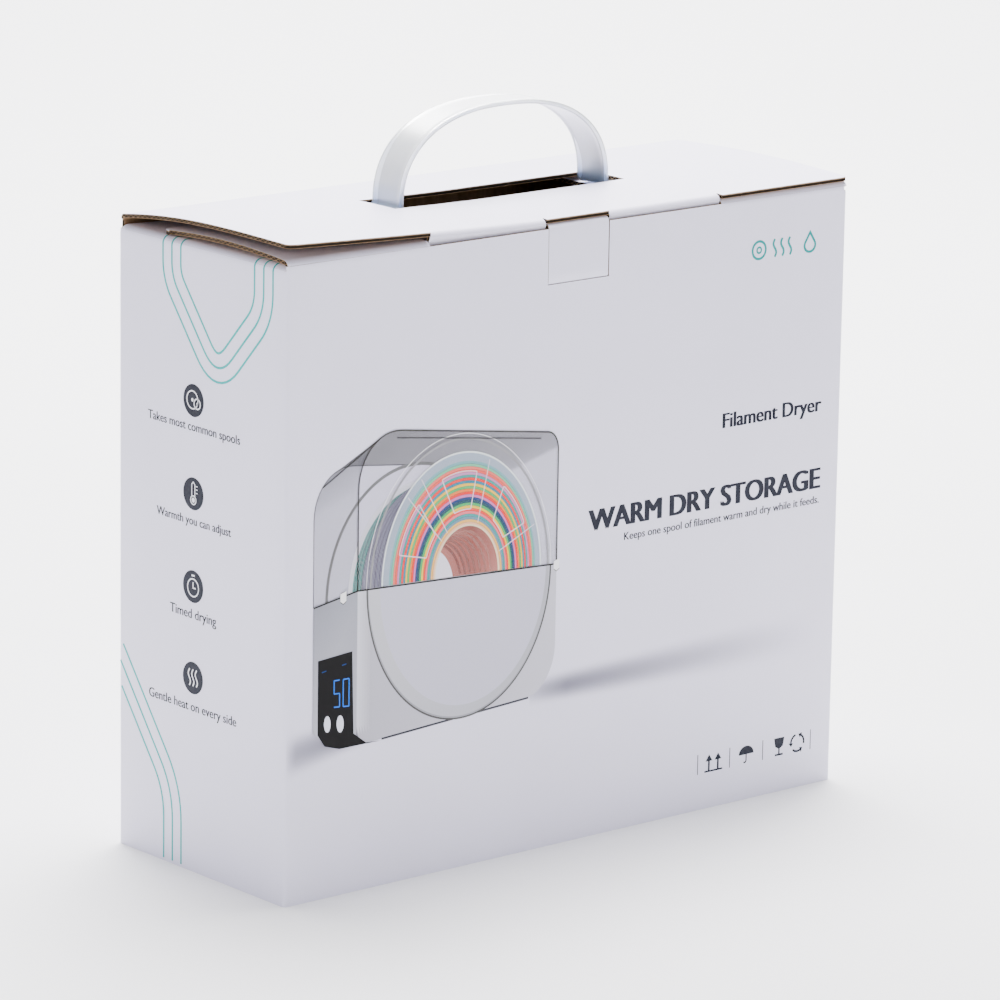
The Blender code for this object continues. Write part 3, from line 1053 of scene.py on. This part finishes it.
def print_left():
    """The left wall's line motif, its four icons and their words."""
    lines = Print("left_line_motif", LEFT, PALE_TEAL)
    over = Print("dust_flap_line_motif", DUST, PALE_TEAL)
    # Three nested lines hang in a rounded V from over the crease; three cross the low corner.
    rising = [275.2, 275.7, 276.1, 276.5, SIDE_TOP]
    hung = [(-21.0, v) for v in rising[::-1]] + [(-21.0, 262.0), (11.0, 222.0), (43.0, 256.0)]
    hung += [(43.0, v) for v in rising]
    corner = [(-64.0, 92.0), (-20.0, 34.0), (-20.0, -8.0)]
    for k in (-1, 0, 1):
        shift = MOTIF_GAP * k
        lines.line(beside(smooth_line(hung, 15.0, 10), shift), MOTIF_WIDTH)
        for u in (-21.0 + shift, 43.0 - shift):
            over.line([(u, 1.2 * t) for t in range(7)], MOTIF_WIDTH)
        edge = beside(smooth_line(corner, 14.0, 8), shift)
        lines.line(cropped(edge, -HALF_Y + 0.6, 0.6), MOTIF_WIDTH)
    lines.finish()
    over.finish()

    discs = Print("left_icon_discs", LEFT, SLATE)
    heights = (210.4, 169.4, 128.3, 87.5)
    for v in heights:
        discs.disc(ICON_U, v, 7.2)
    discs.finish()
    icon_white = coated_white("icon_white", (0.78, 0.78, 0.83))
    drawn = Print("left_icon_lines", LEFT, icon_white, 0.09)
    u, v = ICON_U, heights[0]
    drawn.ring(u - 0.8, v + 0.2, 3.9, 0.6)
    drawn.ring(u + 2.6, v - 1.2, 2.2, 0.6)
    drawn.disc(u - 0.8, v + 0.2, 0.8)
    drawn.disc(u + 2.6, v - 1.2, 0.6)
    v = heights[1]
    tube = [(u - 1.1, v - 1.4), (u - 1.1, v + 4.2), (u, v + 5.2), (u + 1.1, v + 4.2)]
    drawn.line(tube + [(u + 1.1, v - 1.4)], 0.5)
    drawn.ring(u, v - 2.8, 1.9, 0.5)
    drawn.disc(u, v - 2.8, 1.1)
    for k in range(3):
        drawn.line([(u + 1.6, v + 3.6 - 1.5 * k), (u + 3.0, v + 3.6 - 1.5 * k)], 0.4)
    v = heights[2]
    drawn.ring(u, v - 0.5, 3.9, 0.6)
    drawn.line([(u, v + 2.0), (u, v - 0.6), (u + 1.9, v - 0.6)], 0.6)
    drawn.line([(u - 1.1, v + 4.9), (u + 1.1, v + 4.9)], 0.8)
    v = heights[3]
    for k in (-1, 0, 1):
        drawn.line(wave(u + 2.5 * k, v - 3.6, 0.8, 1.1, 1.25), 0.7)
    drawn.finish()

    fine = Print("left_fine_words", LEFT, GREY_INK)
    fine.text("Takes most common spools", -5.3, 197.0, 65.0, 0.12, "CENTER")
    fine.text("Warmth you can adjust", -5.2, 155.6, 52.6, 0.12, "CENTER")
    fine.text("Timed drying", -5.4, 114.0, 32.8, 0.12, "CENTER")
    fine.text("Gentle heat on every side", -5.8, 72.6, 62.4, 0.12, "CENTER")
    fine.finish()


# ------------------------------------------------- the dryer on the front

# The pictured dryer: how it is turned, how far off it is seen from, and its own sizes.
YAW = math.radians(27.5)
AWAY = 364.6
LONG, DEEP, TALL, SPLIT = 149.7, 58.9, 139.5, 69.0
BOSS_X = 75.0


def drawn_at(x, y, z):
    """Where a point of the pictured dryer falls on the front, in millimetres."""
    q = 1.0 + (x * math.sin(YAW) + y * math.cos(YAW)) / AWAY
    u = 38.4 - 160.0 + (x * math.cos(YAW) - y * math.sin(YAW)) / q
    return (u, 102.6 + (z - 37.6) / q)


def srgb(*channels):
    """An ink colour from 0..255 display values, deepened so it keeps its contrast on the liner."""
    found = []
    for c in channels:
        c /= 255.0
        c = c / 12.92 if c <= 0.04045 else ((c + 0.055) / 1.055) ** 2.4
        found.append(min(0.90, 0.77 * (c / 0.70) ** 1.9))
    return tuple(found)


class Picture:
    """A stack of flat inked shapes, each a hair in front of the one before."""

    def __init__(self):
        self.points, self.faces, self.colours = [], [], []
        self.level = 0.05

    def next_layer(self):
        self.level += 0.005

    def patch(self, corners, colours, alpha=1.0):
        """One face; colours is one colour or one for each corner, alpha likewise."""
        base = len(self.points)
        count = len(corners)
        if not isinstance(colours[0], tuple):
            colours = [colours] * count
        alphas = alpha if isinstance(alpha, (list, tuple)) else [alpha] * count
        self.points += [FRONT.at(u, v, self.level) for u, v in corners]
        self.colours += [(*c, a) for c, a in zip(colours, alphas)]
        self.faces.append(list(range(base, base + count)))

    def shape(self, corners, colour, alpha=1.0):
        self.next_layer()
        self.patch(corners, colour, alpha)

    def line(self, points, width, colour, alpha=1.0, closed=False, raised=True):
        if raised:
            self.next_layer()
        left, right = stroke(points, width, closed)
        count = len(points)
        for i in range(count if closed else count - 1):
            j = (i + 1) % count
            self.patch([left[i], right[i], right[j], left[j]], colour, alpha)

    def band(self, inner, outer, colours, alpha=1.0, raised=True):
        """Quads between two lines of points; colours and alpha one per pair, or one for all."""
        if raised:
            self.next_layer()
        for i in range(len(inner) - 1):
            four = colours
            if isinstance(colours[0], tuple):
                four = [colours[i], colours[i], colours[i + 1], colours[i + 1]]
            cover = alpha
            if isinstance(alpha, list):
                cover = [alpha[i], alpha[i], alpha[i + 1], alpha[i + 1]]
            self.patch([inner[i], outer[i], outer[i + 1], inner[i + 1]], four, cover)

    def finish(self):
        obj = make("front_picture", self.points, self.faces, [PICTURE], None, False)
        layer = obj.data.color_attributes.new("ink", "FLOAT_COLOR", "POINT")
        layer.data.foreach_set("color", [c for colour in self.colours for c in colour])
        turn_out(obj, FRONT)
        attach(obj, "carton")


def arc(cx, cz, radius, depth, low, high, steps):
    """Points of a circle on a plane of the pictured dryer, in degrees."""
    found = []
    for k in range(steps + 1):
        t = math.radians(low + (high - low) * k / steps)
        found.append(drawn_at(cx + radius * math.cos(t), depth, cz + radius * math.sin(t)))
    return found


def blend(a, b, t):
    return tuple(p + (q - p) * t for p, q in zip(a, b))


def cover_outline(depth):
    """The see-through cover's outline on a plane: up the left end, over the top, down."""
    big, small = 27.0, 9.0
    points = [(0.0, SPLIT)]
    for k in range(13):
        t = math.radians(180 - 90 * k / 12)
        points.append((big + big * math.cos(t), TALL - big + big * math.sin(t)))
    for k in range(7):
        t = math.radians(90 - 90 * k / 6)
        points.append((LONG - small + small * math.cos(t), TALL - small + small * math.sin(t)))
    points.append((LONG, SPLIT))
    return [drawn_at(x, depth, z) for x, z in points]


def inside(p, outline):
    """Whether a point is within a closed outline."""
    found = False
    for a, b in zip(outline, outline[1:] + outline[:1]):
        if (a[1] > p[1]) != (b[1] > p[1]):
            if p[0] < (b[0] - a[0]) * (p[1] - a[1]) / (b[1] - a[1]) + a[0]:
                found = not found
    return found


def print_dryer():
    art = Picture()
    line_grey = srgb(112, 111, 108)
    smoke = srgb(176, 176, 178)
    paper = srgb(214, 212, 222)
    cx, cz = 82.0, SPLIT

    # Soft shadows beside it: u, v, half height and strength, each from one end to the other.
    shade = srgb(150, 150, 160)
    bands = [
        (-24.0, 148.0, 72.5, 73.0, 7.0, 13.0, 0.70, 0.0),
        (-159.4, -118.0, 66.5, 72.0, 11.5, 8.0, 0.42, 0.62),
    ]
    art.next_layer()
    for u0, u1, v0, v1, h0, h1, a0, a1 in bands:
        for i in range(16):
            for k in range(-8, 8):
                corners, alphas = [], []
                for a, b in ((i, k), (i + 1, k), (i + 1, k + 1), (i, k + 1)):
                    t, n = a / 16, b / 8
                    v = v0 + (v1 - v0) * t + n * (h0 + (h1 - h0) * t)
                    corners.append((u0 + (u1 - u0) * t, v))
                    fade = (1 - n * n) ** 2 * min(1.0, 0.3 + 6.0 * t)
                    alphas.append((a0 + (a1 - a0) * t) * fade)
                art.patch(corners, shade, alphas)

    # The cover: back, end and top panels seen through it.
    back, front = cover_outline(DEEP), cover_outline(0.0)
    art.shape(back, paper, 0.25)
    tints, cover = [], []
    for k in range(len(front)):
        if k < 2:
            tints.append(srgb(200, 200, 206))
            cover.append(0.5)
        elif k < 14:
            tints.append(blend(srgb(190, 190, 196), srgb(140, 140, 140), (k - 2) / 11))
            cover.append(0.6)
        elif k < 20:
            tints.append(blend(srgb(150, 150, 150), srgb(168, 168, 172), (k - 14) / 5))
            cover.append(0.5)
        else:
            tints.append(srgb(206, 206, 212))
            cover.append(0.3)
    art.band(front, back, tints, cover)
    art.line(back, 0.5, line_grey, 0.6)

    # The round recess of the back face, then the spool.
    art.line(arc(77.0, cz, 70.0, DEEP - 4.0, 0, 180, 48), 1.5, srgb(146, 146, 146), 0.9)
    depth_back, depth_front = 55.0, 9.0
    coil, low, raised = 57.0, 25.0, cz + 1.5

    def wound(radius, depth, steps):
        """The upper half of a circle about the spool's axis."""
        return arc(cx, raised, radius, depth, 0, 180, steps)

    art.shape(wound(coil + 3.0, depth_back, 48), srgb(222, 222, 230), 0.6)
    stripes = 26
    teal, violet = srgb(76, 160, 154), srgb(148, 146, 162)
    for k in range(stripes):
        d0 = depth_back - (depth_back - depth_front) * k / stripes
        d1 = depth_back - (depth_back - depth_front) * (k + 0.80) / stripes
        colour = teal if k < 7 else violet
        if k in (3, 6):
            colour = blend(colour, srgb(40, 70, 80), 0.6)
        elif k % 3 == 1:
            colour = blend(colour, srgb(96, 94, 110), 0.5)
        art.band(wound(coil, d0, 48), wound(coil, d1, 48), colour)
    flange = wound(coil + 4.5, depth_front, 60)
    art.shape(flange, srgb(186, 194, 204), 0.85)
    rings = [
        (150, 186, 190), (150, 200, 176), (232, 150, 138), (230, 128, 118), (204, 164, 194), (92, 178, 172),
        (226, 84, 78), (74, 160, 178), (236, 200, 90), (116, 192, 140), (240, 158, 84), (228, 76, 72),
        (208, 150, 190), (44, 104, 150), (32, 118, 130), (98, 192, 136), (240, 204, 92), (234, 104, 78),
        (228, 146, 156), (92, 178, 176), (140, 170, 184), (244, 196, 132), (232, 196, 172),
    ]
    step = (coil - low) / len(rings)
    edges = [wound(coil - step * k, depth_front, 60) for k in range(len(rings) + 1)]
    art.next_layer()
    for colour, outer, inner in zip(rings, edges, edges[1:]):
        art.band(inner, outer, srgb(*colour), 1.0, False)
    art.next_layer()
    for edge in edges[1:]:
        art.line(edge, 0.16, srgb(80, 74, 80), 0.45, False, False)
    # The hub, lit reddish from inside, with the far opening showing low on the left.
    hub = wound(low - 0.5, depth_front, 40)
    art.next_layer()
    heart = drawn_at(cx + 4.0, depth_front, raised)
    for k in range(len(hub) - 1):
        t = k / (len(hub) - 1)
        rim_tone = blend(srgb(164, 114, 106), srgb(196, 152, 144), abs(2 * t - 0.9))
        art.patch([heart, hub[k], hub[k + 1]], [srgb(176, 130, 122), rim_tone, rim_tone])
    for k in range(7):
        depth = depth_front + 5.5 * (k + 1)
        ring = [p for p in wound(low - 2.0, depth, 60) if inside(p, hub)]
        if len(ring) > 2:
            art.line(ring, 1.3, blend(srgb(206, 164, 154), srgb(146, 92, 88), k / 6), 0.4)
    far = [p for p in wound(low - 3.0, depth_back, 90) if inside(p, hub)]
    rim = [p for p in hub if inside(p, wound(low - 3.0, depth_back, 60))]
    art.shape(far + rim, srgb(222, 220, 229), 0.95)
    art.line(wound(low, depth_front, 40), 0.8, srgb(238, 216, 196), 0.95)
    # Windows and spokes of the clear flange.
    pale = srgb(226, 222, 226)
    for centre in (42.0, 98.0, 150.0):
        a, b = centre - 15.0, centre + 15.0
        inner = arc(cx, raised, 33.0, depth_front, a + 4, b - 4, 10)
        outer = arc(cx, raised, 52.0, depth_front, a, b, 14)
        art.line(rounded(inner + outer[::-1], 3.0), 0.5, pale, 0.8, True)
    for centre in (22.0, 74.0, 126.0, 138.0):
        t = math.radians(centre)
        a = drawn_at(cx + 27 * math.cos(t), depth_front, raised + 27 * math.sin(t))
        b = drawn_at(cx + 60 * math.cos(t), depth_front, raised + 60 * math.sin(t))
        art.line([a, b], 0.4, pale, 0.8)
    art.line(flange, 0.8, srgb(222, 226, 232), 0.9)
    # The cover's front: a hint of grey, its raised ring and its outline.
    art.shape(front, smoke, 0.10)
    art.line(arc(BOSS_X, cz, 67.0, 0.0, 0, 180, 60), 1.0, srgb(176, 176, 178), 0.85)
    art.line(arc(BOSS_X, cz, 69.5, 0.0, 0, 180, 60), 0.35, srgb(224, 224, 230), 0.8)
    art.line(front, 0.75, line_grey, 0.9)
    art.line([back[6], front[9]], 0.7, line_grey, 0.85)
    inner_top = [drawn_at(24.0 + k * 10.0, 0.0, TALL - 3.4) for k in range(12)]
    art.line(inner_top, 0.6, line_grey, 0.7)

    # The housing: end, front with a gradient, black foot and panel.
    end = [(0, DEEP, SPLIT), (0, 0, SPLIT), (0, 0, 6.0), (2, DEEP * 0.2, 0.5)]
    end += [(2, DEEP * 0.8, 0.5), (0, DEEP, 6.0)]
    tones = [srgb(166, 167, 173), srgb(174, 175, 181), srgb(188, 188, 194), srgb(186, 186, 192)]
    art.next_layer()
    art.patch([drawn_at(*spot) for spot in end], tones + [tones[3], tones[2]])
    bottom = [(0.0, SPLIT), (0.0, 9.0)]
    for k in range(7):
        t = math.radians(180 + 90 * k / 6)
        bottom.append((8.0 + 8.0 * math.cos(t), 8.5 + 8.0 * math.sin(t)))
    for k in range(9):
        t = math.radians(270 + 90 * k / 8)
        bottom.append((LONG - 26.0 + 26.0 * math.cos(t), 26.5 + 26.0 * math.sin(t)))
    bottom.append((LONG, SPLIT))
    face = [drawn_at(x, 0.0, z) for x, z in bottom]
    art.next_layer()
    near, off = srgb(189, 188, 194), srgb(198, 197, 203)
    art.patch(face, [blend(near, off, min(1.0, x / 60.0)) for x, _ in bottom])
    # A rounded corner between end and front.
    art.next_layer()
    for k in range(6):
        x0 = k * 1.6
        strip = [(x0, SPLIT), (x0, 9.0), (x0 + 1.6, 5.0), (x0 + 1.6, SPLIT)]
        tone = blend(srgb(204, 204, 209), near, k / 5)
        art.patch([drawn_at(x, 0, z) for x, z in strip], tone)
    art.line([drawn_at(16 + k * 9.2, 0.0, 0.4) for k in range(13)], 0.9, srgb(62, 62, 68), 0.9)
    # The round boss.
    art.shape(arc(BOSS_X, cz, 69.0, 0.0, 180, 360, 60), srgb(172, 172, 176))
    art.shape(arc(BOSS_X, cz + 0.4, 68.2, 0.0, 180, 360, 60), srgb(206, 206, 211))
    rim = arc(BOSS_X, cz, 68.0, 0.0, 180, 360, 60)
    disc = arc(77.0, cz, 63.0, 0.0, 180, 360, 60)
    art.band(disc, rim, [blend(srgb(196, 196, 200), srgb(182, 182, 187), k / 60) for k in range(61)])
    art.shape(disc, srgb(197, 196, 205))
    art.line(arc(BOSS_X, cz, 69.2, 0.0, 180, 360, 60), 0.8, srgb(128, 128, 126), 0.85)
    split_line = [drawn_at(x, y, SPLIT) for x, y in ((0, DEEP), (0, 0), (LONG, 0))]
    art.line(split_line, 0.7, srgb(100, 100, 98), 0.95)
    # Two small hinge lugs on the split line.
    for x, y in ((0.0, DEEP * 0.30), (LONG, 0.0)):
        u, v = drawn_at(x, y, SPLIT)
        lug = [(u - 1.6, v + 1.4), (u + 1.6, v + 2.2), (u + 1.6, v - 2.4), (u, v - 3.4)]
        art.shape(lug + [(u - 1.6, v - 2.4)], srgb(226, 226, 230))
        art.line([(u - 1.6, v - 2.2), (u, v - 3.3), (u + 1.6, v - 2.2)], 0.35, line_grey, 0.9)
    # The black panel on the end, wrapped under the base.
    panel = [(0, 0.88, 42.0), (0, 0.10, 43.0), (0, 0.06, 6.0), (6, 0.0, 0.8), (16, 0.0, -0.2)]
    panel += [(4, 0.5, -2.2), (1, 0.74, -0.6), (0, 0.88, 5.0)]
    glass = [(0, 0.86, 41.0), (0, 0.12, 42.0), (0, 0.12, 20.0), (0, 0.86, 20.0)]
    for outline, colour in ((panel, srgb(46, 44, 48)), (glass, srgb(38, 37, 42))):
        art.shape([drawn_at(x, DEEP * share, z) for x, share, z in outline], colour)
    blue = srgb(74, 150, 214)

    def on_end(across, z):
        return drawn_at(0.0, DEEP * (0.88 - 0.78 * across), z)

    # Segment digits: a five and a nought, each drawn from corner to corner of its cell.
    five = ((1, 2), (0, 2), (0, 1), (1, 1), (1, 0), (0, 0))
    nought = ((1, 2), (0, 2), (0, 0), (1, 0), (1, 2))
    for left, corners in ((0.50, five), (0.76, nought)):
        path = [on_end(left + 0.16 * across, 18.5 + 6.25 * up) for across, up in corners]
        for pair in zip(path, path[1:]):
            art.line(pair, 0.55, blue)
    art.line([on_end(0.12, 36.0), on_end(0.26, 36.4)], 0.5, srgb(60, 104, 150))
    art.line([on_end(0.72, 37.6), on_end(0.84, 37.9)], 0.5, srgb(60, 104, 150))
    for across in (0.30, 0.68):
        ring = oval(across, 10.5, 0.10, 4.0, circle(24))
        art.shape([on_end(*spot) for spot in ring], srgb(214, 214, 220))
    art.finish()


# -------------------------------------------------------------------- stage


def build_stage():
    floor_mat = Nodes("studio_paper")
    tone = floor_mat.noise(3.0, 2.0)
    pale = floor_mat.ramp(tone, (0.3, (0.86, 0.86, 0.87)), (0.7, (0.88, 0.88, 0.89)))
    floor_mat.set(base_color=pale, roughness=0.8)
    points, faces = [], []
    profile = [(-6.0, 0.0), (1.6, 0.0)]
    for k in range(1, 13):
        t = math.pi / 2 * k / 12
        profile.append((1.6 + 1.4 * math.sin(t), 1.4 - 1.4 * math.cos(t)))
    profile.append((3.0, 6.0))
    turn = Matrix.Rotation(math.radians(-40.3), 4, "Z")
    for y, z in profile:
        for x in (-8.0, 8.0):
            spot = turn @ Vector((x, y, z))
            points.append((spot.x / MM, spot.y / MM, spot.z / MM))
    for k in range(len(profile) - 1):
        faces.append((2 * k, 2 * k + 1, 2 * k + 3, 2 * k + 2))
    sweep = make("studio_sweep", points, faces, [floor_mat.mat])
    sweep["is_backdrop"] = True

    world = bpy.data.worlds.new("studio")
    bpy.context.scene.world = world
    world.use_nodes = True
    sky = world.node_tree.nodes["Background"]
    sky.inputs["Color"].default_value = (0.93, 0.95, 1.0, 1.0)
    sky.inputs["Strength"].default_value = 0.45

    def lamp(name, place, target, size, power, colour):
        light = bpy.data.lights.new(name, "AREA")
        light.shape = "RECTANGLE"
        light.size, light.size_y = size
        light.energy = power
        light.color = colour
        obj = bpy.data.objects.new(name, light)
        obj.location = place
        obj.rotation_euler = (Vector(target) - Vector(place)).to_track_quat("-Z", "Y").to_euler()
        bpy.context.scene.collection.objects.link(obj)

    centre = (0.0, 0.0, 0.15)
    lamp("top_soft", (0.25, 0.35, 2.3), centre, (1.4, 1.2), 190.0, (1.0, 0.985, 1.0))
    lamp("left_soft", (-2.4, -0.2, 0.9), centre, (1.6, 1.6), 24.0, (0.93, 0.93, 1.0))
    lamp("front_soft", (0.4, -2.4, 0.6), centre, (1.8, 1.2), 24.0, (0.98, 0.97, 1.0))
    lamp("ground_soft", (1.15, 1.35, 1.7), (1.15, 1.35, 0.0), (2.0, 2.0), 150.0, (1.0, 1.0, 1.0))


def build_camera():
    data = bpy.data.cameras.new("product_view")
    data.lens = 202.1
    data.sensor_width = 36.0
    data.clip_end = 50.0
    camera = bpy.data.objects.new("product_view", data)
    bpy.context.scene.collection.objects.link(camera)
    azimuth, pitch, roll = math.radians(49.73), math.radians(13.705), math.radians(0.91)
    level = math.cos(pitch)
    ahead = Vector((math.cos(azimuth) * level, math.sin(azimuth) * level, -math.sin(pitch)))
    right = ahead.cross(Vector((0, 0, 1))).normalized()
    up = right.cross(ahead)
    right_2 = right * math.cos(roll) + up * math.sin(roll)
    up_2 = up * math.cos(roll) - right * math.sin(roll)
    turn = Matrix((right_2, up_2, -ahead)).transposed().to_4x4()
    camera.matrix_world = Matrix.Translation((-1.571, -1.8635, 0.739)) @ turn
    bpy.context.scene.camera = camera


build_walls()
build_dust_flaps()
build_inner_flap()
build_lid()
build_tab()
build_bottom()
build_glue_tab()
build_strap()
print_front()
print_left()
print_dryer()
build_stage()
build_camera()

NEW_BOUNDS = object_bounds()
sizes = [[[float(c) for c in corner] for corner in pair] for pair in (CAD_BOUNDS, NEW_BOUNDS)]
